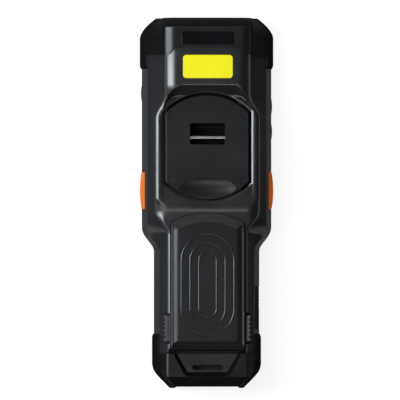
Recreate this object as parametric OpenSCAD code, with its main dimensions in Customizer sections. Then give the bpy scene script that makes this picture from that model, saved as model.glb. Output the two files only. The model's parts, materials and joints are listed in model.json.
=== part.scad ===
// Handheld barcode data terminal, lying on its front face.
// X runs across the body, Y towards the scanner end, Z from the keypad to the back.

/* [Body] */
// Length over both bumpers
body_l = 205; // [198:1:212]
// Width across the head, over the housing flanks
head_w = 71.8; // [69:0.2:75]
// Width across the grip, over the housing flanks
grip_w = 58.4; // [56:0.1:61]
// Length of the head, from the top of the body to where the neck starts
head_l = 115.5; // [112:0.5:118]
// Length of the neck, over which the head narrows to the grip
neck_l = 13.5; // [11:0.5:16]
// Height of the front face above the rims of the bumpers
face_z = 1.5; // [1.2:0.1:1.8]
// Height of the joint between the two housings
split_z = 14; // [13.5:0.1:14.5]
// Height of the deck round the accessory plate
deck_z = 29; // [28.5:0.1:30]
// Height of the rails beside the battery
rail_z = 28.4; // [28:0.1:29]
// Height of the scanner pod
pod_z = 35; // [34:0.2:37]
// Length of the flat top of the pod
pod_l = 36.5; // [35:0.5:38]
// Distance from the flank to the shoulder of the pod
pod_in = 11.4; // [10.4:0.1:12.4]
// Distance from the flank to the shoulder of the deck
deck_in = 6.3; // [5.8:0.1:6.8]
// Distance from the flank of the grip to the battery
rail_w = 8.8; // [8.4:0.1:9.2]
// Width of each rail beside the battery, up to its shoulder
rail_top = 2.2; // [2:0.1:2.6]
// How far the flank slopes in on each side at the joint of the housings
flank_in = 3; // [2.6:0.1:3.4]
// Wall of the moulded housings
wall = 1.8; // [1.6:0.1:2.2]

/* [Bumpers] */
// How far the rubber stands out of the flanks
bump_t = 1.1; // [1:0.1:1.5]
// Rubber over each end of the housings
cap_t = 2.6; // [2.2:0.1:3.2]
// Length of the top bumper on the sides of the pod
top_bump_l = 20.5; // [19:0.5:22]
// Length of the ears of the top bumper along the flanks
top_ear_l = 28; // [26:0.5:30]
// Length of the bottom bumper on the back
tail_bump_l = 19.4; // [18.8:0.1:20]
// Length of the ears of the bottom bumper along the flanks
tail_ear_l = 30; // [28:0.5:31]

/* [Accessory plate] */
// Distance from the shoulder of the deck to the accessory plate
plate_in = 6.4; // [6:0.1:7]
// Length of the accessory plate over its two arcs
plate_l = 58.2; // [56:0.2:59]
// Height of each of the two arcs
plate_rise = 10; // [9:0.1:11]
// Thickness of the accessory plate
plate_t = 2.5; // [2.3:0.1:2.8]
// Width of the strap pocket
pocket_w = 19.4; // [17:0.2:21]
// Length of the strap pocket
pocket_l = 11.8; // [11:0.2:13]
// Diameter of the strap bar
bar_d = 2; // [1.6:0.1:2.4]
// Distance from the side of the plate to its screws
screw_in = 3.2; // [3:0.1:4]
// Distance between the plate screws along the plate
screw_dy = 36; // [34:0.5:37]

/* [Battery] */
// Height of the battery cover
batt_z = 32; // [31.5:0.1:33]
// Radius of the arc at its upper end
batt_arc_r = 40; // [36:0.5:46]
// Distance from the lower end of the body to the lower end of the battery
batt_foot = 21.4; // [21:0.1:22]
// Height of the floor of the battery bay
bay_z = 13.4; // [13:0.1:13.8]
// Travel of a battery latch
latch_travel = 1.2; // [0.8:0.1:1.4]

/* [Keys] */
// Gap between the columns of keys
column_gap = 3.2; // [2.4:0.1:4]
// Gap between the rows of keys
row_gap = 3; // [2:0.1:4]
// Travel of a keypad key
key_travel = 0.8; // [0.5:0.1:0.9]
// Width of the scan key
scan_key_w = 17; // [15:0.5:17.5]
// Length of a side trigger
trigger_l = 20.4; // [18:0.2:23]
// Travel of a side trigger
trigger_travel = 0.8; // [0.5:0.1:0.9]
// Length of the power key and of each volume key
side_key_l = 12.6; // [11:0.2:13.4]
// Travel of the power key and of each volume key
side_key_travel = 0.5; // [0.3:0.1:0.6]

/* [Display] */
// Distance from the flank to the touch glass
glass_in = 4.9; // [4.6:0.1:6]
// Distance from the scanner end to the touch glass
glass_end = 10; // [9.5:0.5:14]
// Thickness of the touch glass
glass_t = 1; // [0.8:0.1:1.2]

/* [Port cover] */
// Length of the port cover
port_l = 23; // [20:0.5:26]
// Diameter of its hinge pin
port_pin_d = 1.2; // [1:0.1:1.4]

/* [Fits] */
// Gap round a fixed piece in its seat
seat_gap = 0.15; // [0.1:0.05:0.2]
// Gap round a moving key in its opening
key_gap = 0.3; // [0.25:0.05:0.4]
// Gap round the battery in its bay
bay_gap = 0.3; // [0.25:0.05:0.4]
// Radial clearance of the hinge pin
pin_gap = 0.06; // [0.03:0.01:0.1]

/* [Hidden] */
KEY_NAMES = ["key_1", "key_2", "key_3", "key_4", "key_5", "key_6",
    "key_7", "key_8", "key_9", "key_left", "key_0", "key_right"];
$fn = 48;
eps = 0.01;

housing_black = "#232426";
rubber_black = "#17181a";
trigger_orange = "#f07a1e";
board_green = "#1f5a3a";
steel = "#b9bcc0";
gold = "#d8b45a";

// Ends and stations of the body
top_y = body_l / 2;
neck_y = top_y - head_l;
dish_y = top_y - pod_l;
house_top = top_y - cap_t;
house_bottom = -top_y + cap_t;
pod_hw = head_w / 2 - pod_in;
deck_hw = head_w / 2 - deck_in;
batt_w = grip_w - 2 * rail_w;
rail_hw = batt_w / 2 + rail_top;
corner_l = 11;
corner_w = 8.8;
corner_power = 1.7;
tail_corner_l = 13.5;
tail_corner_w = 9.7;
tail_corner = [[0, 0], [0.22, 0.05], [0.38, 0.18], [0.55, 0.38], [1, 1]];
end_bevel_l = 4.7;
end_bevel_h = 9;
tail_bevel_l = 6.8;
tail_bevel_share = 0.8;
ease_power = 1.2;

function mix(a, b, t) = a + (b - a) * t;
function clamp(t) = max(0, min(1, t));
function ease(t) = let (u = clamp(t)) u * u * (3 - 2 * u);
function steps(a, b, n) = [for (i = [0:n]) mix(a, b, i / n)];

// Half width of the flanks: the head, the neck and the grip
function flank_hw(y) =
    mix(head_w / 2, grip_w / 2, ease(pow(clamp((neck_y - y) / neck_l), ease_power)));
// Half width with the clipped corners of both ends; out is the growth, cap the cut-back of the ends
function plan_hw(y, out, cap) =
    let (t = clamp((y - top_y + cap + corner_l) / corner_l),
         b = clamp((-top_y + cap + tail_corner_l - y) / tail_corner_l))
    flank_hw(y) + out - corner_w * pow(t, corner_power) - tail_corner_w * lookup(b, tail_corner);

// Dish round the accessory plate, and the ridge between it and the battery
dish_wall_y = 6;
dish_margin = 4;
dish_run = 19;
plate_w = 2 * (deck_hw - plate_in);
plate_r = (plate_w * plate_w / 4 + plate_rise * plate_rise) / (2 * plate_rise);
screw_dx = plate_w - 2 * screw_in;
plate_gap = 1.1;
lip_w = 1;
lip_h = 0.55;
plate_top = deck_z - 0.3;
dish_floor = plate_top - plate_t;
plate_y = dish_y - dish_wall_y - plate_l / 2;
ridge_y = dish_y - dish_wall_y - plate_l - dish_margin;
dish_side = plate_w / 2 + plate_gap;
dish_z = deck_z - 0.15;
dish_r = 9;
dish_rise_y = 7;
dish_rise_x = 1.6;
dish_rise_r = 5;

// Battery bay
ridge_l = 3.1;
apex_y = ridge_y - ridge_l;
bay_bottom = -top_y + batt_foot;
bay_hw = batt_w / 2 + bay_gap;
bay_l = apex_y - bay_bottom;
tail_z = 26;
rib = 2.2;

// Shoulders of the raised back: how wide and how high each is
pod_shoulder = [7.3, 6];
deck_shoulder = [2.8, 3.4];
rail_shoulder = [2.2, 2.6];
ridge_shoulder = [8, 4.5];

function pod_mix(y) = ease((dish_y - y) / dish_run);
function rail_mix(y) = ease((ridge_y - 2.5 - y) / 12.5);
function ridge_mix(y) = ease((ridge_y + 5 - y) / 5) * (1 - ease((apex_y + 2 - y) / 10));
function shoulder(y) =
    mix(mix(mix(pod_shoulder, deck_shoulder, pod_mix(y)), ridge_shoulder, ridge_mix(y)),
        rail_shoulder, rail_mix(y));
// Half width of the raised back: pod, deck and rails
function back_hw(y) =
    mix(mix(pod_hw, deck_hw, ease((dish_y - dish_wall_y - y) / 13)), rail_hw, rail_mix(y));
// Height of the back, before and after the ends are bevelled
function back_z(y) =
    let (deck = mix(pod_z, deck_z, pod_mix(y)),
         rail = mix(deck, rail_z, ease((ridge_y - y) / ridge_l)))
    mix(rail, tail_z, ease((bay_bottom - y) / 2));
function end_bevel(y, cap) =
    end_bevel_h * (clamp((y - top_y + cap + end_bevel_l) / end_bevel_l)
        + tail_bevel_share * clamp((-top_y + cap + tail_bevel_l - y) / tail_bevel_l));

// Right half of a rear section, from the joint of the housings up to the edge of its flat top
function rear_half(y, out, cap, top) =
    let (foot = plan_hw(y, out, cap) - flank_in,
         s = shoulder(y),
         hw = min(back_hw(y) + out, foot - 0.6),
         z = top - end_bevel(y, cap))
    concat([[foot, y, split_z]],
        [for (a = [0:15:90]) [hw - s[0] + s[0] * cos(a), y, z - s[1] + s[1] * sin(a)]]);
// Right half of a front section, from the edge of the face up to the joint of the housings
flank_top = 11;
function front_half(y, out, cap, rim) =
    let (w = plan_hw(y, out, cap))
    [[w - 2.4, y, rim], [w - 0.7, y, rim + 0.7], [w, y, rim + 2.6], [w, y, flank_top],
        [w - flank_in, y, split_z]];

// Solid through a row of sections, each given by its right half and mirrored to the left
module loft(halves) {
    k = len(halves[0]);
    n = 2 * k;
    points = [for (h = halves) each concat(h, [for (j = [k - 1:-1:0]) [-h[j].x, h[j].y, h[j].z]])];
    last = len(halves) - 1;
    sides = [for (i = [0:last - 1]) for (j = [0:n - 1])
        let (a = i * n + j, b = i * n + (j + 1) % n, c = a + n, d = b + n)
        each [[a, c, b], [b, c, d]]];
    ends = [for (j = [0:k - 2])
        let (a = j, b = j + 1, c = n - 2 - j, d = n - 1 - j, e = last * n)
        each [[a, b, c], [a, c, d], [e + a, e + c, e + b], [e + a, e + d, e + c]]];
    polyhedron(points, concat(sides, ends));
}

// Solid through a row of outlines, each counterclockwise and at its own height
module stack(rings) {
    n = len(rings[0]);
    last = len(rings) - 1;
    sides = [for (i = [0:last - 1]) for (j = [0:n - 1])
        let (a = i * n + j, b = i * n + (j + 1) % n, c = a + n, d = b + n)
        each [[a, c, b], [b, c, d]]];
    polyhedron([for (r = rings) each r],
        concat(sides, [[for (j = [0:n - 1]) j]], [[for (j = [n - 1:-1:0]) last * n + j]]));
}

// Stations along the body
corner_steps = 8;
top_corner_ys = steps(house_top, house_top - corner_l, corner_steps);
tail_corner_ys = steps(house_bottom + tail_corner_l, house_bottom, corner_steps);
dish_ys = steps(dish_y + 1, dish_y - dish_run, 14);
neck_ys = steps(ridge_y + 5, neck_y - neck_l, 22);
tail_ys = concat([bay_bottom + 1, bay_bottom - 2], tail_corner_ys);
body_ys = concat(top_corner_ys, dish_ys, neck_ys, tail_ys);

// Outline of the body seen from the back
module plan(out, cap) {
    right = [for (y = body_ys) [plan_hw(y, out, cap), y]];
    keep = -out + cap - cap_t;
    intersection() {
        polygon(concat(right, [for (i = [len(right) - 1:-1:0]) [-right[i].x, right[i].y]]));
        translate([-head_w, house_bottom + keep])
            square([2 * head_w, house_top - house_bottom - 2 * keep]);
    }
}

module slab(size, at, r = 0) {
    translate([at.x - size.x / 2, at.y - size.y / 2, at.z]) {
        if (r == 0) {
            cube(size);
        } else {
            linear_extrude(size.z) rounded(size, r);
        }
    }
}
module rounded(size, r) {
    translate([r, 0]) square([size.x - 2 * r, size.y]);
    translate([0, r]) square([size.x, size.y - 2 * r]);
    for (x = [r, size.x - r], y = [r, size.y - r]) translate([x, y]) circle(r);
}
module both_sides() {
    children();
    mirror([1, 0, 0]) children();
}
// Box along X, for what sits in a flank
module flank_box(x0, x1, y, l, z, h) {
    translate([x0, y - l / 2, z]) cube([x1 - x0, l, h]);
}

// Screws: [x, y, height of the seat of the head, height of the tip]
screw_d = 2;
head_d = 3.8;
head_h = 1.4;
grip_head_h = 1;
shank_d = 1.6;
shank_bore = 1.7;
chassis_z = face_z + 4.7;
chassis_t = 1.2;
bore_gap = 0.3;
head_gap = 0.4;
board_hw = head_w / 2 - wall - 2.8;
grip_screw_y = [apex_y - 4.6, bay_bottom + 2.9];
grip_screw_x = [batt_w / 2 - 8.4, batt_w / 2 - 3.4];
deck_screws = [for (s = [-1, 1]) [s * screw_dx / 2, plate_y]];
pod_screws = [for (s = [-1, 1]) [s * (board_hw - 6), top_y - 15]];
grip_screws = [for (i = [0, 1]) for (s = [-1, 1]) [s * grip_screw_x[i], grip_screw_y[i]]];
screw_seat = split_z + 2.2;
bay_floor_t = 2.4;
bay_under = bay_z - bay_floor_t;
bay_wall = 1.6;
head_seat = bay_z - grip_head_h - 0.2;

module screw(d, l, hd, hh) {
    translate([0, 0, -l]) cylinder(h = l + eps, d = d);
    difference() {
        cylinder(h = hh, d = hd);
        translate([0, 0, hh * 0.4]) cylinder(h = hh, d = hd * 0.45, $fn = 6);
    }
}

// Speaker holes follow the upper arc of the accessory plate
speaker_hole_d = 0.9;
speaker_hole_r = plate_r + plate_gap + lip_w + speaker_hole_d;
module speaker_holes() {
    for (s = [-1, 1], row = [0, 1], i = [0:2]) {
        a = s * (31.5 + i * 2.4);
        r = speaker_hole_r + row * 1.6;
        translate([r * sin(a), plate_y + plate_l / 2 - plate_r + r * cos(a), dish_floor - rib - 1])
            cylinder(h = pod_z, d = speaker_hole_d);
    }
}

// Scan window in the upper end
window_w = 27;
window_h = 8;
window_z = 16.4;

// Strap slot in the tail panel, which leads out through the lower end
slot_w = 16.8;
slot_h = 2.7;
slot_foot = 11.9;
slot_y = -top_y + slot_foot;
slot_floor = 19;
slot_out = 3;
module strap_slot() {
    translate([-slot_w / 2, slot_y - slot_h / 2, slot_floor]) {
        translate([0, 0, slot_out / 2]) linear_extrude(tail_z) rounded([slot_w, slot_h], slot_h / 2 - eps);
        translate([0, -top_y, 0]) cube([slot_w, top_y + slot_h, slot_out]);
    }
}

latch_l = 14.2;
latch_y = bay_bottom + 12;
latch_notch = latch_l + 3;
latch_z = 20.8;

module bay_plan(gap) {
    intersection() {
        union() {
            translate([0, apex_y - batt_arc_r]) circle(batt_arc_r + gap, $fn = 96);
            translate([-batt_w, bay_bottom - bay_l]) square([2 * batt_w, 1.5 * bay_l]);
        }
        translate([-batt_w / 2 - gap, bay_bottom - gap])
            square([batt_w + 2 * gap, bay_l + 2 * gap]);
    }
}

cavity_ys = concat([house_top - rib], steps(house_top - 3, house_top - corner_l, 4),
    [dish_y + 3, dish_y + 2, dish_y - 6, dish_y - dish_run], [ridge_y + 5, ridge_y, apex_y + rib]);
function cavity_z(y) = y > dish_y + 2.5 ? pod_z - wall : dish_floor - wall;

module rear_housing() {
    color(housing_black) difference() {
        union() {
            difference() {
                union() {
                    loft([for (y = body_ys) rear_half(y, 0, cap_t, back_z(y))]);
                    slab([2 * (bay_hw + bay_wall), bay_l + 2 * bay_wall, split_z + 2 - bay_under],
                        [0, (apex_y + bay_bottom) / 2, bay_under]);
                }
                rear_cavity();
                dish();
            }
            strap_well();
            screw_columns();
        }
        translate([0, 0, bay_z]) linear_extrude(pod_z) bay_plan(bay_gap);
        translate([-pocket_w / 2, plate_y + pocket_dy - pocket_l / 2, dish_floor - pocket_depth])
            cube([pocket_w, pocket_l, pod_z]);
        bar_seat();
        both_sides() flank_box(bay_hw - eps, head_w / 2, latch_y, latch_notch, latch_z, pod_z);
        strap_slot();
        speaker_holes();
        plate_screw_holes(1.5, 4);
        label_seat(nameplate_size, nameplate_y, nameplate_z);
        label_seat(label_size, label_y, label_z);
        screw_bores();
        window_opening();
    }
}
module rear_cavity() {
    loft([for (y = cavity_ys) let (h = rear_half(y, -rib, cap_t, cavity_z(y)))
        concat([[h[0].x, y, split_z - 3]], [for (j = [1:len(h) - 1]) h[j]])]);
}
// Hollow below the pod with a plate seat in it, whose lip is bevelled
module dish() {
    stack(concat([for (t = steps(0, 1, 6)) dish_ring(t, mix(dish_z, pod_z, ease(t)))],
        [dish_ring(1, pod_z + 1)]));
    stack([plate_ring(plate_gap, dish_floor), plate_ring(plate_gap, deck_z - lip_h),
        plate_ring(plate_gap + lip_w, deck_z), plate_ring(plate_gap + lip_w, pod_z + 1)]);
}
function dish_ring(t, z) =
    let (hw = dish_side + dish_rise_x * t,
         r = dish_r + dish_rise_r * t,
         high = dish_y + (t - 1) * dish_rise_y - r,
         low = ridge_y + 1 + r)
    [for (c = [[hw - r, high, 0], [r - hw, high, 90], [r - hw, low, 180], [hw - r, low, 270]])
        for (a = [0:15:90]) [c.x + r * cos(c.z + a), c.y + r * sin(c.z + a), z]];
// Outline of the accessory plate, grown by a gap: two arcs, joined by straight sides
function plate_ring(gap, z) =
    let (r = plate_r + gap, a = asin((plate_w / 2 + gap) / r), centre = plate_l / 2 - plate_r)
    [for (s = [1, -1]) for (b = steps(a, -a, 16))
        [s * r * sin(b), plate_y + s * (centre + r * cos(b)), z]];
pocket_dy = 7.4;
pocket_depth = 6;
bar_y = plate_y + pocket_dy - 2;
bar_z = dish_floor - bar_d / 2;
bar_hold = 2.4;
bar_l = pocket_w + 2 * bar_hold;
module strap_well() {
    slab([pocket_w + 2 * rib, pocket_l + 2 * rib, pocket_depth + wall],
        [0, plate_y + pocket_dy, dish_floor - pocket_depth - wall]);
    slab([bar_l + 2 * rib, bar_d + 2 * rib, bar_d + rib], [0, bar_y, dish_floor - bar_d - rib]);
}
module bar_seat() {
    l = bar_l + 2 * seat_gap;
    d = bar_d + 2 * seat_gap;
    translate([-l / 2, bar_y, bar_z]) rotate([0, 90, 0]) cylinder(h = l, d = d);
    translate([-l / 2, bar_y - d / 2, bar_z]) cube([l, d, bar_d]);
}
plate_screw_at = [for (x = [-1, 1], y = [-1, 1]) [x * screw_dx / 2, plate_y + y * screw_dy / 2]];
module plate_screw_holes(d, l) {
    for (p = plate_screw_at) translate([p.x, p.y, dish_floor - l]) cylinder(h = l + plate_t + 1, d = d);
}
module screw_columns() {
    column_d = head_d + 2.4;
    for (p = deck_screws) translate([p.x, p.y, split_z]) cylinder(h = dish_floor - split_z, d = column_d);
    for (p = pod_screws) intersection() {
        translate([p.x, p.y, split_z]) cylinder(h = pod_z, d = column_d);
        loft([for (y = body_ys) rear_half(y, -eps, cap_t, back_z(y))]);
    }
    for (p = plate_screw_at) translate([p.x, p.y, dish_floor - rib - 2.6]) cylinder(h = rib + 2.6, d = 4);
}
module screw_bores() {
    for (p = concat(deck_screws, pod_screws)) translate([p.x, p.y, screw_seat]) {
        cylinder(h = pod_z, d = head_d + head_gap);
        translate([0, 0, -screw_seat]) cylinder(h = pod_z, d = screw_d + bore_gap);
    }
    for (p = grip_screws) translate([p.x, p.y, head_seat]) {
        cylinder(h = pod_z, d = head_d + head_gap);
        translate([0, 0, -split_z]) cylinder(h = pod_z, d = screw_d + bore_gap);
    }
}
module window_opening() {
    slab([window_w - 4, 3 * rib, window_h - 2.4], [0, house_top, window_z + 1.2]);
    slab([window_w, 2, window_h], [0, house_top, window_z]);
}
nameplate_size = [28.8, 7.2, 1];
nameplate_y = top_y - 11.7;
nameplate_z = pod_z - 0.15;
label_size = [27.4, 12.8, 0.6];
label_y = dish_y + 9.3;
label_z = pod_z - 0.5;
label_r = 1.8;
module label_seat(size, y, z) {
    slab([size.x + 2 * seat_gap, size.y + 2 * seat_gap, 3], [0, y, z], label_r);
}

// Front housing
glass_foot = 7.5;
glass_w = head_w - 2 * glass_in;
glass_l = head_l - glass_end - glass_foot;
glass_y = neck_y + glass_foot + glass_l / 2;
glass_r = 3.5;
glass_z = face_z + 0.2;
view_margin = 2.6;
floor_z = face_z + wall;
port_y = -top_y + 44.5;
port_z0 = 4;
port_z1 = split_z - 0.8;
port_t = 1.6;
port_groove = 0.6;
port_pin_x = grip_w / 2 - 1.5;
port_pin_z = port_z0 + 1.2;
port_barrel_d = port_pin_d + 1.6;
port_barrel_l = port_l - 8;
pin_seat = 0.02;
connector = [5.2, 9, 2.7];
port_x = grip_w / 2 - 8.4;
key_flange_z = floor_z + 0.25;
key_flange_t = 0.6;
mat_z = key_flange_z + key_flange_t + key_travel + 0.35;
mat_t = 0.9;
keypad_board_z = mat_z + mat_t + 0.8;
board_z = 9;
board_t = 1.2;
port_seat = keypad_board_z + board_t + 0.02;
seal_w = 0.9;
seal_h = 0.8;
rim_w = rib;
trigger_y = neck_y + 20;
power_y = top_y - 41.5;
volume_y = top_y - 55.8;
key_z = 5.6;
key_h = 4.2;
trigger_z = 4.8;
trigger_h = 7.4;

module front_housing() {
    color(housing_black) difference() {
        union() {
            difference() {
                loft([for (y = body_ys) front_half(y, 0, cap_t, face_z)]);
                translate([0, 0, floor_z]) linear_extrude(flank_top - floor_z - 0.6) plan(-wall, cap_t);
                translate([0, 0, flank_top - 0.7]) linear_extrude(split_z)
                    plan(-flank_in - rim_w, cap_t);
            }
            housing_ribs();
        }
        translate([0, 0, split_z - seal_h]) linear_extrude(1) seal_plan(seat_gap / 2);
        slab([glass_w + 2 * seat_gap, glass_l + 2 * seat_gap, glass_t + 1],
            [0, glass_y, glass_z - 1], glass_r);
        slab([glass_w - 2 * view_margin, glass_l - 2 * view_margin, 4], [0, glass_y, glass_z], 2);
        slab([12, 1.4, 4], [0, glass_y + glass_l / 2 + 2.4, 0], 0.6);
        key_openings();
        side_openings();
        port_opening();
        translate([-cradle_w / 2, house_bottom - 1, cradle_z]) cube([cradle_w, 2 * rib, cradle_h]);
        for (p = grip_screws) translate([p.x, p.y, floor_z]) cylinder(h = split_z, d = shank_bore);
    }
}
module seal_plan(gap) {
    inset = flank_in + rim_w / 2 - seal_w / 2;
    difference() {
        plan(gap - inset, cap_t);
        plan(-inset - seal_w - gap, cap_t);
    }
}
// Ledges for the chassis, bosses for the grip screws, rests for the keypad board
ledge_w = 3;
ledge_l = 5;
ledge_ys = [neck_y + 5.5, neck_y + 36, top_y - 20];
module housing_ribs() {
    both_sides() for (y = ledge_ys)
        flank_box(head_w / 2 - wall - ledge_w, head_w / 2 - wall + eps, y, ledge_l, floor_z - eps,
            chassis_z - floor_z);
    for (p = grip_screws) translate([p.x, p.y, floor_z - eps])
        cylinder(h = bay_under - 0.1 - floor_z, d = 4.8);
    both_sides() for (y = [row_y(0) + 1, row_y(2) + 1])
        flank_box(keypad_hw - rest_w, grip_w / 2 - wall + eps, y, rest_l, floor_z - eps,
            keypad_board_z - floor_z);
    flank_box(keypad_hw + 0.6, grip_w / 2 - 1, port_y, port_l + 4, floor_z - eps, flank_top - floor_z);
}

// Keypad: the scan key between two function keys, above three columns of keys
scan_y = neck_y - 5;
first_row_y = scan_y - 14;
last_row_y = -top_y + 33.8;
key_dy = (first_row_y - last_row_y) / 3;
key_l = key_dy - row_gap;
flange = 0.5;
flange_gap = 0.5;
keypad_hw = grip_w / 2 - wall - 3.6;
rest_w = 0.8;
rest_l = 6;
key_area_hw = keypad_hw - rest_w - flange_gap - flange;
key_w = 2 * (key_area_hw - column_gap) / 3;
key_dx = key_w + column_gap;
function row_y(row) = first_row_y - row * key_dy;
// Counted from the left of the person who holds it, whose left is +X here
function key_at(i) = [(1 - i % 3) * key_dx, row_y(floor(i / 3))];
scan_key_l = 9.4;
scan_gap = 3.4;
function_key = [keypad_hw - 0.7 - scan_key_w / 2 - scan_gap, 8.4];
function_x = scan_key_w / 2 + scan_gap + function_key.x / 2;
key_top_z = face_z - 0.7;
key_r = min(2.2, key_l / 2 - 0.4);
module key_openings() {
    for (i = [0:11]) key_opening([key_w, key_l], key_at(i));
    key_opening([scan_key_w, scan_key_l], [0, scan_y]);
    both_sides() key_opening(function_key, [function_x, scan_y]);
}
module key_opening(size, at) {
    slab([size.x + 2 * key_gap, size.y + 2 * key_gap, 5], [at.x, at.y, -1], key_r + key_gap);
}
module keypad_key(size, at, name_color) {
    color(name_color) {
        slab([size.x - 0.8, size.y - 0.8, 0.5], [at.x, at.y, key_top_z], key_r - 0.4);
        slab([size.x, size.y, floor_z + 0.3 - key_top_z - 0.4], [at.x, at.y, key_top_z + 0.4], key_r);
        slab([size.x + 2 * flange, size.y + 2 * flange, key_flange_t], [at.x, at.y, key_flange_z], key_r);
    }
}

// Side triggers and side keys: a bowed pad on a neck, with a flange behind the wall
module side_openings() {
    both_sides() flank_box(head_w / 2 - 3, head_w, trigger_y, trigger_l + 2 * key_gap,
        trigger_z - key_gap, trigger_h + 2 * key_gap);
    mirror([1, 0, 0]) side_key_opening(power_y);
    side_key_opening(volume_y + side_key_l / 2 + 0.7);
    side_key_opening(volume_y - side_key_l / 2 - 0.7);
}
module side_key_opening(y) {
    flank_box(head_w / 2 - 3, head_w, y, side_key_l + 2 * key_gap, key_z - key_gap, key_h + 2 * key_gap);
}
bow = 0.9;
module side_button(l, z, h, proud, y) {
    x1 = head_w / 2 + proud;
    x0 = head_w / 2 - wall - 0.3;
    bow_r = (l * l / 4 + bow * bow) / (2 * bow);
    intersection() {
        flank_box(x0 - eps, x1, y, l, z, h);
        translate([x1 - bow_r, y, z]) cylinder(h = h, r = bow_r, $fn = 96);
    }
    flank_box(x0 - 0.8, x0, y, l + 2 * flange, z - flange,
        min(z + h + flange, flank_top - 0.7) - z + flange);
}
module trigger() {
    color(trigger_orange) side_button(trigger_l, trigger_z, trigger_h, bump_t - 0.05, trigger_y);
}
module side_key(y) {
    color(housing_black) side_button(side_key_l, key_z, key_h, 0.5, y);
}

// Port cover on the right side of the grip, with its hinge along its front edge
module port_opening() {
    x0 = grip_w / 2 - port_t - 0.5;
    flank_box(x0, grip_w, port_y, port_l + 2 * key_gap, port_z0 + 2.6, port_z1 - port_z0 - 2.6 + 0.2);
    flank_box(port_pin_x - port_barrel_d / 2 - 0.4, grip_w, port_y, port_barrel_l + 2 * key_gap,
        port_z0 - 0.7, 4);
    flank_box(grip_w / 2 - 0.7, grip_w, port_y, port_l + 2 * key_gap, port_pin_z + 0.6, 2);
    translate([port_pin_x, port_y - port_l / 2 + 1, port_pin_z]) rotate([-90, 0, 0])
        cylinder(h = port_l - 2, d = port_pin_d + 2 * pin_seat);
    flank_box(grip_w / 2 - 3.7, grip_w, port_y, port_l + 2 * key_gap, flank_top - 1.1,
        port_z1 + 0.2 - flank_top + 1.1);
    flank_box(port_x - 0.4, grip_w, port_y, connector.y + 0.6, port_seat - 0.2, connector.z + 0.4);
}
module port_cover() {
    color(rubber_black) difference() {
        union() {
            intersection() {
                translate([0, port_y + port_l / 2, 0]) rotate([90, 0, 0]) linear_extrude(port_l)
                    port_profile();
                flank_box(0, grip_w, port_y, port_l, port_z0 + 2.9, port_z1);
            }
            intersection() {
                translate([0, port_y + port_barrel_l / 2, 0]) rotate([90, 0, 0])
                    linear_extrude(port_barrel_l) union() {
                        port_profile();
                        translate([port_pin_x, port_pin_z]) circle(d = port_barrel_d);
                    }
                flank_box(0, grip_w, port_y, port_barrel_l, 0, port_z1);
            }
        }
        translate([port_pin_x, port_y - port_l, port_pin_z]) rotate([-90, 0, 0])
            cylinder(h = 2 * port_l, d = port_pin_d + 2 * pin_gap);
        for (i = [0:5]) flank_box(grip_w / 2 - port_groove, grip_w, port_y + 1 + i * port_l / 11,
            port_l / 22, flank_top - 3, port_z1);
    }
}
module port_profile() {
    x = grip_w / 2 - 0.1;
    top = port_z1 - 0.1;
    polygon([[x, port_pin_z], [x, flank_top], [x - (top - flank_top), top],
        [x - (top - flank_top) - 1, top - 1], [x - port_t, flank_top - 0.5],
        [x - port_t, port_pin_z]]);
}
module port_hinge_pin() {
    color(steel) translate([port_pin_x, port_y - port_l / 2 + 1, port_pin_z]) rotate([-90, 0, 0])
        cylinder(h = port_l - 2, d = port_pin_d);
}
module data_port() {
    color(steel) difference() {
        flank_box(port_x, port_x + connector.x, port_y, connector.y, port_seat, connector.z);
        flank_box(port_x + 0.8, grip_w, port_y, connector.y - 0.8, port_seat + 0.4, connector.z - 0.8);
    }
}

module housing_seal() {
    color(rubber_black) translate([0, 0, split_z - seal_h]) linear_extrude(seal_h)
        seal_plan(-seat_gap / 2);
}

// Section right round the body, for the bumpers
function full_half(y, out, cap, rim, top) =
    let (f = front_half(y, out, cap, rim), r = rear_half(y, out, cap, top))
    concat([for (j = [0:3]) f[j]], r);
ear_taper = 1.8;
ear_t = 0.4;
// Thickness of the rubber at a distance from the end of an ear
function ear(t, d) = mix(ear_t, t, clamp(d / ear_taper));
cap_ys = concat(steps(top_y, top_y - corner_l, corner_steps),
    [top_y - corner_l - cap_t, top_y - top_ear_l + ear_taper, top_y - top_ear_l]);
cap_back = 0.8;
module bumper_fill(ys) {
    loft([for (y = ys) full_half(y, seat_gap, cap_t - seat_gap, face_z - seat_gap,
        back_z(y) + seat_gap)]);
}
edge_step = 3.7;
module top_bumper() {
    color(rubber_black) difference() {
        loft([for (y = cap_ys)
            full_half(y, ear(bump_t, y - top_y + top_ear_l), 0, 0, pod_z + cap_back)]);
        bumper_fill(concat([for (y = top_corner_ys) y + seat_gap], [dish_y + 1, top_y - top_ear_l - 1]));
        slab([glass_w + 2.4, 60, 6], [0, house_top - 32.2, -1], 4);
        top_bumper_edge();
        label_seat(nameplate_size, nameplate_y, nameplate_z - 1);
        slab([window_w + 1.4, 3 * cap_t, window_h + 1.4], [0, top_y, window_z - 0.7]);
    }
}
// The lower edge of the top bumper steps up over the flat of the pod
module top_bumper_edge() {
    y = top_y - top_bump_l;
    x = pod_hw - pod_shoulder[0];
    translate([0, 0, split_z + 0.4]) linear_extrude(pod_z)
        polygon(concat([[-head_w, 0], [head_w, 0], [head_w, y]],
            [for (t = [0:0.2:1]) [mix(x + 5, x, t), y + edge_step * ease(t)]],
            [for (t = [1:-0.2:0]) [-mix(x + 5, x, t), y + edge_step * ease(t)]],
            [[-head_w, y]]));
}

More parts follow.
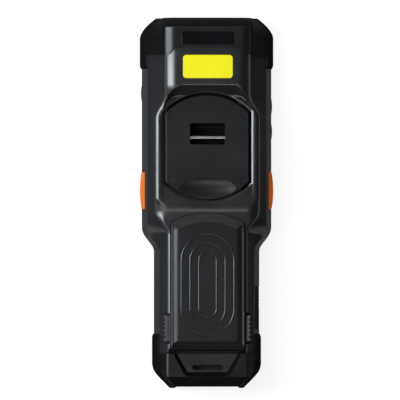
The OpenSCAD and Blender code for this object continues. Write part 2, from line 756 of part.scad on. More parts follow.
tail_top = 28.8;
foot_x = 19.5;
foot_h = 1.1;
module bottom_bumper() {
    ys = concat([-top_y + tail_ear_l, -top_y + tail_ear_l - ear_taper, -top_y + tail_corner_l + cap_t],
        steps(-top_y + tail_corner_l, -top_y, corner_steps));
    color(rubber_black) difference() {
        loft([for (y = ys) full_half(y, ear(bump_t - 0.1, -top_y + tail_ear_l - y), 0, 0, tail_top)]);
        bumper_fill(concat([-top_y + tail_ear_l + 1, bay_bottom + 0.5, bay_bottom - 2],
            [for (y = tail_corner_ys) y - seat_gap]));
        slab([grip_w - 5.5, 60, 6], [0, house_bottom + 32.2, -1], 4);
        translate([-head_w, -top_y + tail_bump_l, split_z + 0.4]) cube([2 * head_w, body_l, pod_z]);
        tail_window();
        end_notch();
        strap_slot();
        slab([cradle_w + 1, 4 * cap_t, cradle_h + 1], [0, -top_y, cradle_z - 0.5]);
    }
}
// Window over the tail panel, with sloping walls
window_l = 11.6;
window_in = 6;
window_slope = 1.9;
module tail_window() {
    stack([tail_ring(0, tail_z - 2), tail_ring(0, tail_z + 0.3), tail_ring(window_slope, tail_top),
        tail_ring(window_slope, pod_z)]);
}
function tail_ring(grow, z) =
    let (y = -top_y + tail_bump_l, hw = batt_w / 2 - 4 + grow, low = y - window_l - grow / 2)
    [[hw, y + 1, z], [-hw, y + 1, z], [-hw, y - 1, z], [window_in - hw - 0.8, low + 1.6, z],
        [window_in - hw + 0.8, low, z], [hw - window_in - 0.8, low, z],
        [hw - window_in + 0.8, low + 1.6, z], [hw, y - 1, z]];
module end_notch() {
    translate([0, -top_y - 1, -1]) linear_extrude(pod_z)
        polygon([[-foot_x + 0.4, 0], [-foot_x + 2.6, 1 + foot_h], [foot_x - 2.6, 1 + foot_h],
            [foot_x - 0.4, 0]]);
}

// Accessory plate, bar and screws
plate_bevel = 0.7;
module bevelled_disc(r) {
    cylinder(h = plate_t - plate_bevel, r = r, $fn = 96);
    translate([0, 0, plate_t - plate_bevel])
        cylinder(h = plate_bevel, r1 = r, r2 = r - plate_bevel, $fn = 96);
}
module accessory_plate() {
    hw = plate_w / 2;
    side = plate_t - plate_bevel;
    color(housing_black) translate([0, 0, dish_floor]) difference() {
        intersection() {
            translate([0, plate_y + plate_l / 2 - plate_r, 0]) bevelled_disc(plate_r);
            translate([0, plate_y - plate_l / 2 + plate_r, 0]) bevelled_disc(plate_r);
            translate([0, plate_y + plate_l, 0]) rotate([90, 0, 0]) linear_extrude(2 * plate_l)
                polygon([[-hw, 0], [hw, 0], [hw, side], [hw - plate_bevel, plate_t],
                    [plate_bevel - hw, plate_t], [-hw, side]]);
        }
        slab([pocket_w, pocket_l, 3 * plate_t], [0, plate_y + pocket_dy, -plate_t], 1);
        thumb_scoop();
        for (p = plate_screw_at) translate([p.x, p.y, -1]) {
            cylinder(h = plate_t + 2, d = 1.9);
            translate([0, 0, 1 + plate_t - 1.5]) cylinder(h = 3, d = 3.8);
        }
    }
}
// Lens-shaped hollow: a spindle of arcs turned about an axis above the plate
scoop_hw = 15.9;
scoop_l = 12;
scoop_depth = 1.6;
module thumb_scoop() {
    mid_r = (scoop_l * scoop_l / 4 + scoop_depth * scoop_depth) / (2 * scoop_depth);
    arc_r = (scoop_hw * scoop_hw + scoop_depth * scoop_depth) / (2 * scoop_depth);
    translate([0, plate_y - plate_l / 2 + scoop_l / 2 + 0.4, plate_t - scoop_depth + mid_r])
        rotate([0, 90, 0]) rotate_extrude($fn = 96) intersection() {
            translate([mid_r - arc_r, 0]) circle(arc_r, $fn = 160);
            translate([0, -30]) square([mid_r, 60]);
        }
}
module strap_bar() {
    color(steel) translate([-bar_l / 2, bar_y, bar_z]) rotate([0, 90, 0]) cylinder(h = bar_l, d = bar_d);
}
module plate_screws() {
    color("#3a3c40") for (p = plate_screw_at) translate([p.x, p.y, dish_floor + plate_t - 1.5])
        screw(1.4, 4.6, 3.4, 1.2);
}
deck_screw_l = 7;
grip_screw_l = 6.5;
module housing_screws() {
    color(steel) {
        for (p = concat(deck_screws, pod_screws)) translate([p.x, p.y, screw_seat])
            screw(shank_d, deck_screw_l, head_d, head_h);
        for (p = grip_screws) translate([p.x, p.y, head_seat + eps])
            screw(shank_d, grip_screw_l, head_d, grip_head_h);
    }
}
module nameplate() {
    color("black") slab(nameplate_size, [0, nameplate_y, nameplate_z], label_r);
}
module label_plate() {
    color("#e8d81c") slab(label_size, [0, label_y, label_z], label_r);
}

// Battery: a tray below and a cover above, which tilt out about the upper edge
pack_z = bay_z + 0.3;
pack_split = 20.6;
seam_z = rail_z + 0.1;
cover_round = 4.4;
cover_bevel = 5;
cell_end = [10, 8.2];
cell_size = [batt_w - 6.8, bay_l - cell_end[0] - cell_end[1], 12.6];
cell_y = apex_y - cell_end[0] - cell_size.y / 2;
pack_bottom = bay_bottom + 0.1;
module pack_side_profile() {
    translate([batt_w, 0, 0]) rotate([0, -90, 0]) linear_extrude(2 * batt_w)
        polygon([[pack_z, pack_bottom + 2.4], [pack_z, apex_y], [batt_z, apex_y],
            [batt_z, pack_bottom + cover_bevel], [seam_z - 0.2, pack_bottom], [seam_z - 3, pack_bottom]]);
}
module pack_body() {
    hw = batt_w / 2;
    arc_z = batt_z - cover_round;
    difference() {
        intersection() {
            pack_side_profile();
            translate([0, 0, pack_z]) linear_extrude(batt_z) bay_plan(0);
            translate([0, apex_y, 0]) rotate([90, 0, 0]) linear_extrude(bay_l) polygon(concat(
                [[-hw, pack_z], [hw, pack_z]],
                [for (a = [0:11.25:90]) [hw - cover_round * (1 - cos(a)), arc_z + cover_round * sin(a)]],
                [for (a = [90:-11.25:0]) [cover_round * (1 - cos(a)) - hw, arc_z + cover_round * sin(a)]]));
            union() {
                translate([-batt_w, bay_bottom - bay_l, 0]) cube([2 * batt_w, 1.5 * bay_l, 2 * batt_z]);
                translate([0, apex_y - batt_arc_r, 0]) {
                    cylinder(h = seam_z, r = batt_arc_r, $fn = 96);
                    translate([0, 0, seam_z - eps])
                        cylinder(h = batt_z - seam_z + eps, r1 = batt_arc_r,
                            r2 = batt_arc_r - cover_bevel, $fn = 96);
                }
            }
        }
        slab([cell_size.x + 0.4, cell_size.y + 0.4, cell_size.z + 0.2], [0, cell_y, cell_z]);
        both_sides() flank_box(latch_in - latch_travel - latch_gap, batt_w, latch_y, latch_l + 2 * key_gap,
            latch_z, rail_z + key_gap - latch_z);
    }
}
cell_z = pack_z + 1.3;
latch_in = batt_w / 2 - 0.5;
latch_gap = 0.4;
latch_sink = 0.1;
latch_groove = 0.4;
module battery_pack() {
    color(housing_black) difference() {
        intersection() {
            pack_body();
            translate([-batt_w, -top_y, 0]) cube([2 * batt_w, body_l, pack_split]);
        }
        for (i = [-2:2]) slab([1.6, 4, 1], [i * contact_dx, contact_y, pack_z - 0.4]);
    }
}
module battery_cover() {
    color(housing_black) {
        intersection() {
            pack_body();
            translate([-batt_w, -top_y, pack_split]) cube([2 * batt_w, body_l, batt_z]);
        }
        for (i = [0:2]) cover_rib(rib_r - i * rib_step);
    }
}
rib_side = 5.4;
rib_step = 4.85;
rib_end = [11.2, 8.1];
rib_w = 0.9;
rib_h = 0.4;
rib_r = batt_w / 2 - rib_side;
rib_straight = bay_l - rib_end[0] - rib_end[1] - 2 * rib_r;
rib_y = (apex_y - rib_end[0] + bay_bottom + rib_end[1]) / 2;
// Rib with a rounded top, bent into a racetrack
module cover_rib(r) {
    translate([0, rib_y, batt_z]) {
        for (s = [-1, 1]) translate([0, s * rib_straight / 2, 0]) intersection() {
            rotate_extrude($fn = 64) translate([r - rib_w, 0]) rib_profile();
            translate([-2 * r, (s - 1) * r, -rib_h]) cube([4 * r, 2 * r, 3 * rib_h]);
        }
        both_sides() translate([r - rib_w, rib_straight / 2, 0]) rotate([90, 0, 0])
            linear_extrude(rib_straight) rib_profile();
    }
}
module rib_profile() {
    polygon([[0, -rib_h / 2], [rib_w, -rib_h / 2], [rib_w, 0], [0.8 * rib_w, 0.75 * rib_h],
        [0.5 * rib_w, rib_h], [0.2 * rib_w, 0.75 * rib_h], [0, 0]]);
}
module battery_cells() {
    color("#3f6fa0") for (s = [-1, 1])
        slab([cell_size.x / 2 - 0.2, cell_size.y, cell_size.z], [s * cell_size.x / 4, cell_y, cell_z], 2);
}
contact_dx = 2.8;
contact_y = apex_y - 12;
module battery_terminals() {
    color(gold) for (i = [-2:2]) slab([1.5, 3.9, 0.5], [i * contact_dx, contact_y, pack_z + 0.1]);
}
module battery_contacts() {
    color(gold) for (i = [-2:2]) slab([1, 2.4, 0.28], [i * contact_dx, contact_y, bay_z + 0.01]);
}
// A latch fills its gap in the rail and has grooves on the side where the finger presses
module latch() {
    color(housing_black) difference() {
        intersection() {
            flank_box(latch_in, head_w, latch_y, latch_l, latch_z + key_gap, pod_z);
            loft([for (y = [latch_y + latch_l, latch_y - latch_l])
                rear_half(y, -latch_sink, cap_t, rail_z - latch_sink)]);
        }
        for (i = [-2:2]) flank_box(rail_hw + latch_groove, head_w, latch_y + i * latch_l / 6, 1,
            0, rail_z - rail_shoulder[1]);
    }
}
module latch_right() { latch(); }
module latch_left() { mirror([1, 0, 0]) latch(); }

module left_trigger() { mirror([1, 0, 0]) trigger(); }
module right_trigger() { trigger(); }
module power_key() { mirror([1, 0, 0]) side_key(power_y); }
module volume_up_key() { side_key(volume_y + side_key_l / 2 + 0.7); }
module volume_down_key() { side_key(volume_y - side_key_l / 2 - 0.7); }

// Inside of the head
inner_y0 = max(neck_y + 6, grip_screw_y[0] + 3);
switch_in = head_w / 2 - wall - 1.8 - max(trigger_travel, side_key_travel);
module side_switch(y) {
    flank_box(switch_in - 2.2, switch_in, y, 5, chassis_z + chassis_t + 0.1,
        board_z - chassis_z - chassis_t - 0.1);
    flank_box(switch_in - eps, switch_in + 0.2, y, 1.6, chassis_z + chassis_t + 0.5, 0.8);
}
module side_switches() {
    color(steel) {
        both_sides() side_switch(trigger_y);
        mirror([1, 0, 0]) side_switch(power_y);
        side_switch(volume_y + side_key_l / 2 + 0.7);
        side_switch(volume_y - side_key_l / 2 - 0.7);
    }
}
module touch_glass() {
    color("#101216") slab([glass_w, glass_l, glass_t], [0, glass_y, glass_z], glass_r - seat_gap);
}
display_z = glass_z + glass_t + 0.05;
module display_module() {
    color("#8d949c") slab([glass_w - 2 * view_margin - 0.8, glass_l - 2 * view_margin - 0.8, 2.8],
        [0, glass_y, display_z], 1);
}
boss_d = 5;
module chassis_frame() {
    color(steel) difference() {
        union() {
            translate([0, 0, chassis_z]) linear_extrude(chassis_t) intersection() {
                plan(-wall - 0.4, cap_t);
                translate([-head_w, inner_y0]) square([2 * head_w, house_top - 3 - inner_y0]);
            }
            for (p = concat(deck_screws, pod_screws)) translate([p.x, p.y, chassis_z])
                cylinder(h = split_z - 0.1 - chassis_z, d = boss_d);
            both_sides() for (y = [glass_y - 30, glass_y + 14])
                slab([5, 5, board_z - chassis_z], [board_hw - 5, y, chassis_z]);
        }
        for (p = concat(deck_screws, pod_screws)) translate([p.x, p.y, chassis_z - 1])
            cylinder(h = split_z, d = shank_bore);
        both_sides() flank_box(switch_in + 0.3, head_w, trigger_y, trigger_l + 3, 0, split_z);
        both_sides() flank_box(switch_in + 0.3, head_w, volume_y + 4, 2 * side_key_l + 14, 0, split_z);
        slab([36, 60, 4], [0, glass_y, chassis_z - 1], 4);
    }
}
module main_board() {
    color(board_green) difference() {
        slab([2 * board_hw, house_top - 6 - inner_y0, board_t],
            [0, (house_top - 6 + inner_y0) / 2, board_z], 3);
        for (p = concat(deck_screws, pod_screws)) translate([p.x, p.y, 0])
            cylinder(h = split_z, d = boss_d + 0.6);
    }
}
board_top = board_z + board_t;
can_h = 2.2;
can_l = [20, 18, 12];
can_y = [18, -12, -35];
motor_d = 10;
motor_x = board_hw - 4 - motor_d / 2;
can_w = 2 * (motor_x - motor_d / 2) - 1;
module shield_cans() {
    color(steel) {
        for (i = [0:2]) slab([can_w - i % 2 * 8, can_l[i], can_h], [0, glass_y + can_y[i], board_top], 1);
    }
}
engine = [22, 12, 11];
engine_y = house_top - rib - 0.8 - engine.y / 2;
module scan_engine() {
    color("#2b2d31") difference() {
        union() {
            slab([engine.x + 6, engine.y - 3, window_z - 1.2 - board_top], [0, engine_y - 1.5, board_top]);
            slab([engine.x, engine.y, engine.z], [0, engine_y, window_z - 1.2 - eps]);
        }
        translate([-5, engine_y, window_z + window_h / 2]) rotate([-90, 0, 0]) {
            cylinder(h = engine.y, d = 6);
            translate([10, 0, 2]) cylinder(h = engine.y, d = 3.4);
        }
    }
}
module scan_window() {
    color("#2a1216") slab([window_w - 2 * seat_gap, 1 - seat_gap, window_h - 2 * seat_gap],
        [0, house_top - 0.5, window_z + seat_gap]);
}
speaker_size = [10.4, 6, 3];
speaker_x = pod_hw - 5.1 - speaker_size.x / 2;
speaker_y = plate_y + plate_l / 2 - 2.6;
speaker_z = dish_floor - wall - speaker_size.z - 1.2;
module speakers() {
    color("#2b2d31") both_sides() slab(speaker_size, [speaker_x, speaker_y, speaker_z], 1);
}
module earpiece() {
    color("#2b2d31") slab([14, 4.2, 2], [0, glass_y + glass_l / 2 + 2.4, floor_z + 0.1], 1);
}
module vibration_motor() {
    color(steel) translate([motor_x, neck_y + 22, board_top]) cylinder(h = 2.8, d = motor_d);
}
module antenna() {
    color(gold) difference() {
        slab([5, 26, 1.6], [4 - board_hw, glass_y + 14, board_top]);
        for (i = [0:3]) slab([3.4, 1.4, 3], [4 - board_hw + (i % 2 * 2 - 1) * 1.2,
            glass_y + 6 + i * 5, board_top + 0.4]);
    }
}
cradle_w = 18;
cradle_z = 5.5;
cradle_h = 3.2;
module cradle_contacts() {
    color(gold) for (i = [-3:3]) slab([1.4, 3, cradle_h - 1.2],
        [i * 2.4, house_bottom + 1.4, cradle_z + 0.6]);
    color("#2b2d31") difference() {
        slab([cradle_w - 2 * seat_gap, 3.6, cradle_h - 2 * seat_gap],
            [0, house_bottom + 2, cradle_z + seat_gap]);
        for (i = [-3:3]) slab([1.6, 3.2, cradle_h - 1], [i * 2.4, house_bottom + 1.4, cradle_z + 0.5]);
    }
}

// Keypad
keypad_top = scan_y + scan_key_l / 2 + 0.4;
keypad_bottom = row_y(3) - key_l / 2 - 0.6;
module keypad_sheet(w, t, z) {
    difference() {
        slab([w, keypad_top - keypad_bottom, t], [0, (keypad_top + keypad_bottom) / 2, z], 1);
        for (p = grip_screws) translate([p.x, p.y, 0]) cylinder(h = split_z, d = 5.2);
    }
}
module keypad_board() {
    color(board_green) keypad_sheet(2 * keypad_hw, board_t, keypad_board_z);
}
module keypad_mat() {
    color("#4a4d52") keypad_sheet(2 * keypad_hw - 3, mat_t, mat_z);
}
module dome_switches() {
    color(steel) {
        for (i = [0:11]) dome(key_at(i));
        dome([0, scan_y]);
        for (s = [-1, 1]) dome([s * function_x, scan_y]);
    }
}
module dome(at) {
    translate([at.x, at.y, keypad_board_z - 0.7]) cylinder(h = 0.7, d1 = 2.4, d2 = 5);
}
module scan_key() {
    keypad_key([scan_key_w, scan_key_l], [0, scan_y], trigger_orange);
}
module function_key_left() { keypad_key(function_key, [function_x, scan_y], "#2c2e31"); }
module function_key_right() { keypad_key(function_key, [-function_x, scan_y], "#2c2e31"); }
module number_key(i) { keypad_key([key_w, key_l], key_at(i), "#3a3c40"); }

front_housing();
rear_housing();
housing_seal();
top_bumper();
bottom_bumper();
accessory_plate();
strap_bar();
plate_screws();
housing_screws();
nameplate();
label_plate();
battery_pack();
battery_cover();
battery_cells();
battery_terminals();
latch_left();
latch_right();
battery_contacts();
left_trigger();
right_trigger();
power_key();
volume_up_key();
volume_down_key();
side_switches();
port_cover();
port_hinge_pin();
data_port();
touch_glass();
display_module();
chassis_frame();
main_board();
shield_cans();
keypad_board();
keypad_mat();
dome_switches();
scan_window();
scan_engine();
speakers();
earpiece();
vibration_motor();
antenna();
cradle_contacts();
scan_key();
function_key_left();
function_key_right();
for (i = [0:11]) number_key(i);
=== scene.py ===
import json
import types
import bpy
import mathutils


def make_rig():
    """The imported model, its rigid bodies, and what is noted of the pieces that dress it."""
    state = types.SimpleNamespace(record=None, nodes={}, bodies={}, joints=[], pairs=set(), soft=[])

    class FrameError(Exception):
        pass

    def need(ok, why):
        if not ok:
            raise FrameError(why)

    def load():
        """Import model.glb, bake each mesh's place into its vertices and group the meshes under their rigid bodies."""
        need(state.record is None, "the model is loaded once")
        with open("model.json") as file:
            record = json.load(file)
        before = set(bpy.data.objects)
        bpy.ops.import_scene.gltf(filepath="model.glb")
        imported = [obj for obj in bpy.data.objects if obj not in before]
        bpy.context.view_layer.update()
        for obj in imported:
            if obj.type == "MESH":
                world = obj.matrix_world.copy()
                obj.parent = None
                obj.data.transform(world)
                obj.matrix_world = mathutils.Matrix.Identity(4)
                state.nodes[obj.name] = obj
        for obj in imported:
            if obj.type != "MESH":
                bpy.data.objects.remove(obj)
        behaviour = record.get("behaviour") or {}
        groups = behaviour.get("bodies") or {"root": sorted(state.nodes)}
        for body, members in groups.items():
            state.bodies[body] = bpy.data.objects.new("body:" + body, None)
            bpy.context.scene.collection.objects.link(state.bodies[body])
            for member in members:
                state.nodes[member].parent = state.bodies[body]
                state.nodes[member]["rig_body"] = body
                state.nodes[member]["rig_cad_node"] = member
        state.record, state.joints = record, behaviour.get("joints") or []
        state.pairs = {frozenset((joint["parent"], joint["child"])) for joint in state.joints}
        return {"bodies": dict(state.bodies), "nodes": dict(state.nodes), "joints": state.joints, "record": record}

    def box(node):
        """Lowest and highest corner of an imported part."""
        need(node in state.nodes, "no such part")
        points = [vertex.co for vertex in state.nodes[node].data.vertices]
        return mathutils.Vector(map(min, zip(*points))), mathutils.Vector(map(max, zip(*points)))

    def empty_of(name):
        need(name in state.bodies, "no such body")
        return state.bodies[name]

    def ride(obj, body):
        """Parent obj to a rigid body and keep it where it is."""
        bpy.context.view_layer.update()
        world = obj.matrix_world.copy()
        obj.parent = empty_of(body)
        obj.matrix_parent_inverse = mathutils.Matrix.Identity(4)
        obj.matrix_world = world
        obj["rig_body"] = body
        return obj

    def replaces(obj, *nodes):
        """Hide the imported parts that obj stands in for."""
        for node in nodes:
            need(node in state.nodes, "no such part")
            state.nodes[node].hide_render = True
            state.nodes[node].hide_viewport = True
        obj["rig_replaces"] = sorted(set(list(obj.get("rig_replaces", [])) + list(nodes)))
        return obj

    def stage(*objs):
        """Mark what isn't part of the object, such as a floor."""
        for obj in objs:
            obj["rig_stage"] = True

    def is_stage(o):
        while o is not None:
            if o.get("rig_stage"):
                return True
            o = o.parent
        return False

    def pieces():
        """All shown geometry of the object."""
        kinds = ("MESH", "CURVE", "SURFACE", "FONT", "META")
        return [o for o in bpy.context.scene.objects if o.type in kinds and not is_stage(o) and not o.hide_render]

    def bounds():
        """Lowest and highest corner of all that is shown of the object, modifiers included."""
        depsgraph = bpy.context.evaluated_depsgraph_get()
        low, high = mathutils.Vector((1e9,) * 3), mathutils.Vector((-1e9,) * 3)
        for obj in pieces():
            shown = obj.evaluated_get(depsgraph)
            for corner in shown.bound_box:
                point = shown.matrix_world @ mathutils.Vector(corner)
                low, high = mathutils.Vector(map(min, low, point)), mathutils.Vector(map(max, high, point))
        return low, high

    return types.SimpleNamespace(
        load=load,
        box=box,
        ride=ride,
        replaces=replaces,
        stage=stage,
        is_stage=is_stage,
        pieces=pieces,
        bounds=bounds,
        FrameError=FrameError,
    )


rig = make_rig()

bl_info = {
    "name": "Handheld data terminal",
    "version": (1, 0, 0),
    "blender": (4, 5, 0),
    "location": "3D View > Sidebar > Terminal",
    "description": "Finishes, trims and stages a handheld barcode data terminal",
    "category": "Object",
}

import json
import math

import bpy
from bpy.props import FloatProperty, FloatVectorProperty, PointerProperty
from mathutils import Vector

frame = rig.load()
CAD_LOW, CAD_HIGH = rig.bounds()
NODES = frame["nodes"]
MM = 0.001


# ---------------------------------------------------------------- settings

class TerminalFinish(bpy.types.PropertyGroup):
    """Colours and surface values of the terminal"""

    housing: FloatVectorProperty(
        name="Housing", description="Moulded housing, plate and battery",
        subtype="COLOR", size=3, min=0, max=1, default=(0.0085, 0.0085, 0.0089))
    side: FloatVectorProperty(
        name="Sides", description="Coarse grain on the steep sides of the housing",
        subtype="COLOR", size=3, min=0, max=1, default=(0.019, 0.019, 0.0202))
    rubber: FloatVectorProperty(
        name="Rubber", description="Bumpers and port cover",
        subtype="COLOR", size=3, min=0, max=1, default=(0.0045, 0.0045, 0.0049))
    orange: FloatVectorProperty(
        name="Triggers", description="Side triggers and scan key",
        subtype="COLOR", size=3, min=0, max=1, default=(0.89, 0.185, 0.014))
    label: FloatVectorProperty(
        name="Label", description="Label plate on the scanner pod",
        subtype="COLOR", size=3, min=0, max=1, default=(0.81, 0.75, 0.008))
    legend_size: FloatProperty(
        name="Legend size", description="Height of the text box of one key legend",
        subtype="DISTANCE", unit="LENGTH", min=0.002, max=0.012, default=0.0075)
    grain: FloatProperty(
        name="Grain", description="Width of one grain of the moulded texture",
        subtype="DISTANCE", unit="LENGTH", min=0.0001, max=0.002, default=0.00035)
    edge_radius: FloatProperty(
        name="Edge radius", description="Rounding of the moulded edges",
        subtype="DISTANCE", unit="LENGTH", min=0.00005, max=0.001, default=0.00022)


class TerminalStage(bpy.types.PropertyGroup):
    """Camera, lights and floor"""

    camera_height: FloatProperty(
        name="Camera height", description="Height of the camera over the floor",
        subtype="DISTANCE", unit="LENGTH", min=0.3, max=8, default=3.0)
    camera_tilt: FloatProperty(
        name="Camera tilt", description="How far the camera leans over to the left",
        subtype="ANGLE", unit="ROTATION", min=-0.5, max=0.5, default=math.radians(1.5))
    view_width: FloatProperty(
        name="View width", description="Width that the camera sees at the flanks",
        subtype="DISTANCE", unit="LENGTH", min=0.1, max=1, default=0.2222)
    key_radiance: FloatProperty(
        name="Key light", description="Brightness of the soft box at the upper left",
        min=0, max=60, default=12.5)
    fill_radiance: FloatProperty(
        name="Fill light", description="Brightness of the low light beyond the upper end",
        min=0, max=60, default=6)
    sky: FloatProperty(
        name="Sky", description="Brightness of the dark studio overhead",
        min=0, max=2, default=0.08)
    floor_glow: FloatProperty(
        name="Floor glow", description="Light that the floor adds for the camera",
        min=0, max=2, default=0.85)


# ---------------------------------------------------------------- helpers

# Clean-up and rounding of the moulded shells
WELD_DISTANCE = 0.002 * MM
FLAT_ANGLE = math.radians(0.6)
EDGE_ANGLE = math.radians(34)
SMOOTH_ANGLE = math.radians(32)
EDGE_SEGMENTS = 2

# Vertices nearer than this to the middle of a piece are on neither side of it
MIDDLE = 0.001 * MM


def deselect():
    if bpy.context.object and bpy.context.object.mode != "OBJECT":
        bpy.ops.object.mode_set(mode="OBJECT")
    bpy.ops.object.select_all(action="DESELECT")


def activate(obj):
    deselect()
    obj.select_set(True)
    bpy.context.view_layer.objects.active = obj


def apply_modifier(obj, kind, **values):
    activate(obj)
    modifier = obj.modifiers.new(kind.title(), kind)
    for key, value in values.items():
        setattr(modifier, key, value)
    bpy.ops.object.modifier_apply(modifier=modifier.name)


def settle(obj, name, material, body):
    """Puts a new piece's place into its mesh, gives it its name and finish, and lets it ride."""
    activate(obj)
    bpy.ops.object.transform_apply(location=True, rotation=True, scale=True)
    obj.name = name
    obj.data.name = name
    obj.data.materials.clear()
    obj.data.materials.append(material)
    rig.ride(obj, body)


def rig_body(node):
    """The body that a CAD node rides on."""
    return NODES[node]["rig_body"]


def rounded_copy(node, name, material, radius):
    """A copy of a CAD node, merged, with its edges rounded and its curves smooth."""
    obj = bpy.data.objects.new(name, NODES[node].data.copy())
    bpy.context.scene.collection.objects.link(obj)
    activate(obj)
    bpy.ops.object.mode_set(mode="EDIT")
    bpy.ops.mesh.select_mode(type="VERT")
    bpy.ops.mesh.select_all(action="SELECT")
    bpy.ops.mesh.remove_doubles(threshold=WELD_DISTANCE)
    bpy.ops.mesh.dissolve_limited(angle_limit=FLAT_ANGLE)
    bpy.ops.object.mode_set(mode="OBJECT")
    apply_modifier(obj, "BEVEL", width=radius, segments=EDGE_SEGMENTS, limit_method="ANGLE",
                   angle_limit=EDGE_ANGLE, use_clamp_overlap=True)
    activate(obj)
    bpy.ops.object.shade_smooth_by_angle(angle=SMOOTH_ANGLE)
    apply_modifier(obj, "WEIGHTED_NORMAL", keep_sharp=True)
    settle(obj, name, material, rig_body(node))
    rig.replaces(obj, node)


def refinish(obj, material, chosen):
    """A second finish on the faces of a piece that a test picks out."""
    obj.data.materials.append(material)
    count = 0
    for face in obj.data.polygons:
        if chosen(face):
            face.material_index = len(obj.data.materials) - 1
            count += 1
    if count == 0:
        raise RuntimeError("no face of " + obj.name + " takes " + material.name)


def within(low, high):
    """A test for the faces whose centre lies inside a box."""
    return lambda face: all(a < c < b for a, c, b in zip(low, face.center, high))


def under(node, lift=0.0):
    """The middle of the lower side of a CAD node, moved up by the lift."""
    low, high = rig.box(node)
    return (low.x + high.x) / 2, (low.y + high.y) / 2, low.z + lift


def move_side(obj, side, distance):
    """Moves the vertices on one side of a new piece, 1 or -1, outwards along x."""
    bpy.ops.object.mode_set(mode="EDIT")
    bpy.ops.mesh.select_mode(type="VERT")
    bpy.ops.mesh.select_all(action="DESELECT")
    bpy.ops.object.mode_set(mode="OBJECT")
    for vertex in obj.data.vertices:
        vertex.select = side * vertex.co.x > MIDDLE
    bpy.ops.object.mode_set(mode="EDIT")
    bpy.ops.transform.translate(value=(side * distance, 0, 0))
    bpy.ops.object.mode_set(mode="OBJECT")


def math_node(tree, operation, *values):
    """The output of a math node; each value is a number or the output of another node."""
    node = tree.nodes.new("ShaderNodeMath")
    node.operation = operation
    for socket, value in zip(node.inputs, values):
        if isinstance(value, bpy.types.NodeSocket):
            tree.links.new(value, socket)
        else:
            socket.default_value = value
    return node.outputs[0]


# ---------------------------------------------------------------- finishes

# Widths of the slow changes over a moulded and over a metal surface
MOULDED_PATCH = 22 * MM
METAL_PATCH = 9 * MM

# Black border of the cover glass, across and along the terminal, and its smears
SCREEN_BORDER = (3.4 * MM, 6.0 * MM)
SMEAR_SIZE = 30 * MM
SMEAR_ROUGHNESS = (0.03, 0.09)


class Finish:
    """A material being built: its nodes, links and Principled shader."""

    def __init__(self, name, color, roughness, metallic=0.0, specular=0.5):
        self.material = bpy.data.materials.new(name)
        self.material.use_nodes = True
        self.tree = self.material.node_tree
        self.shader = self.tree.nodes["Principled BSDF"]
        self.set("Base Color", (*color, 1))
        self.set("Roughness", roughness)
        self.set("Metallic", metallic)
        self.set("Specular IOR Level", specular)
        self.color = color
        self.roughness = roughness

    def set(self, socket, value):
        self.shader.inputs[socket].default_value = value

    def node(self, kind, **inputs):
        node = self.tree.nodes.new(kind)
        for key, value in inputs.items():
            node.inputs[key.replace("_", " ")].default_value = value
        return node

    def link(self, a, b):
        self.tree.links.new(a, b)

    def coords(self):
        return self.node("ShaderNodeTexCoord").outputs["Object"]

    def noise(self, size, detail, roughness=0.5):
        noise = self.node("ShaderNodeTexNoise", Scale=1 / size, Detail=detail, Roughness=roughness)
        self.link(self.coords(), noise.inputs["Vector"])
        return noise.outputs["Fac"]

    def ramp(self, value, low, high, start=0.3, end=0.7):
        ramp = self.node("ShaderNodeMapRange", From_Min=start, From_Max=end, To_Min=low,
                         To_Max=high)
        self.link(value, ramp.inputs["Value"])
        return ramp.outputs["Result"]

    def mix(self, factor, a, b, kind="RGBA"):
        """Blends two colours, or two numbers of kind VALUE; each may be another node's output."""
        mix = self.node("ShaderNodeMix")
        mix.data_type = "RGBA" if kind == "RGBA" else "FLOAT"
        self.link(factor, mix.inputs["Factor"])
        for name, value in (("A", a), ("B", b)):
            socket = next(i for i in mix.inputs if i.name == name and i.type == kind)
            if isinstance(value, bpy.types.NodeSocket):
                self.link(value, socket)
            else:
                socket.default_value = (*value[:3], 1) if kind == "RGBA" else value
        return next(o for o in mix.outputs if o.type == kind)

    def coarse_sides(self, color, roughness, specular, start, end):
        """Changes over to a coarse, matte grain where the surface is steep.

        The change lies between two heights of the surface normal.
        """
        split = self.node("ShaderNodeSeparateXYZ")
        self.link(self.node("ShaderNodeTexCoord").outputs["Normal"], split.inputs["Vector"])
        flat = self.ramp(split.outputs["Z"], 0, 1, start, end)
        for name, value in (("Base Color", color), ("Roughness", roughness),
                            ("Specular IOR Level", specular)):
            socket = self.shader.inputs[name]
            flat_value = socket.links[0].from_socket if socket.is_linked else socket.default_value
            self.link(self.mix(flat, value, flat_value, socket.type), socket)

    def bump(self, height, depth):
        bump = self.node("ShaderNodeBump", Strength=1.0, Distance=depth)
        self.link(height, bump.inputs["Height"])
        self.link(bump.outputs["Normal"], self.shader.inputs["Normal"])

    def mottle(self, size, spread, shine=0.04):
        """Slow changes of colour and roughness over the surface."""
        slow = self.noise(size, 4)
        dark = tuple(c * (1 - spread) for c in self.color)
        light = tuple(min(1, c * (1 + spread)) for c in self.color)
        self.link(self.mix(self.ramp(slow, 0, 1), dark, light), self.shader.inputs["Base Color"])
        self.link(self.ramp(slow, self.roughness - shine, self.roughness + shine),
                  self.shader.inputs["Roughness"])


def moulded(name, color, roughness, grain, depth=0.02, spread=0.12, specular=0.5, side=None):
    """Plastic or rubber: depth is the height of its grain in mm, side its look where steep."""
    finish = Finish(name, color, roughness, specular=specular)
    finish.mottle(MOULDED_PATCH, spread)
    if side:
        finish.coarse_sides(**side)
    finish.bump(finish.noise(grain, 2, 0.6), depth * MM)
    return finish.material


